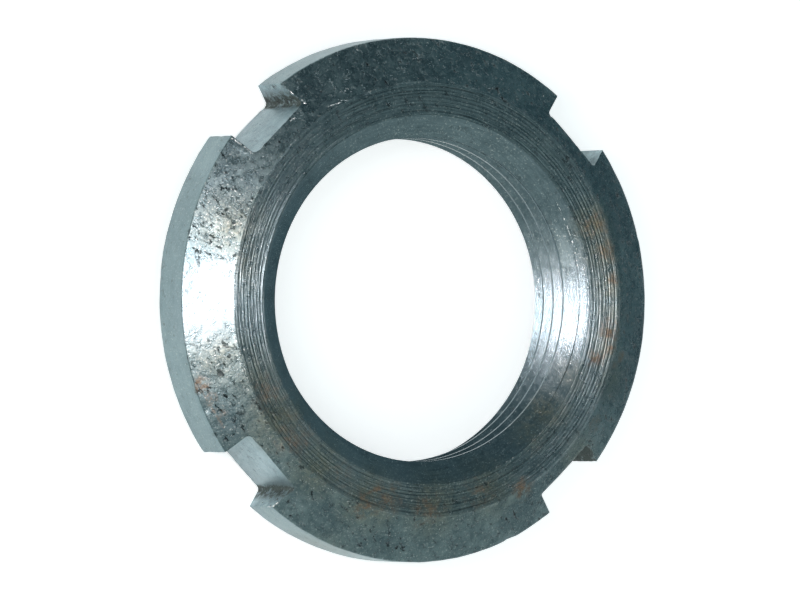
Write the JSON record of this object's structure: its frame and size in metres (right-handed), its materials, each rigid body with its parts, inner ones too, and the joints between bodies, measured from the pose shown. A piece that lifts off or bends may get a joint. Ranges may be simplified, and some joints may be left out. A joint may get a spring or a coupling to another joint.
{
  "type": "slotted round nut",
  "caption": "Round steel nut with a fine-threaded bore, chamfered rim and square slots for a hook spanner, worn and lightly rusted.",
  "frame": {"origin": "centre of the back face, on the thread's axis, which is the face the nut lies on", "axes": "+Z along the thread's axis out of the front face; the slots are on the X and Y axes"},
  "size_m": [0.0376, 0.0376, 0.007],
  "materials": {
    "steel": "turned and milled blue-grey steel, patchy patina, fine pits and light rust"
  },
  "bodies": {
    "root": {"slotted_nut": "steel"}
  },
  "joints": []
}
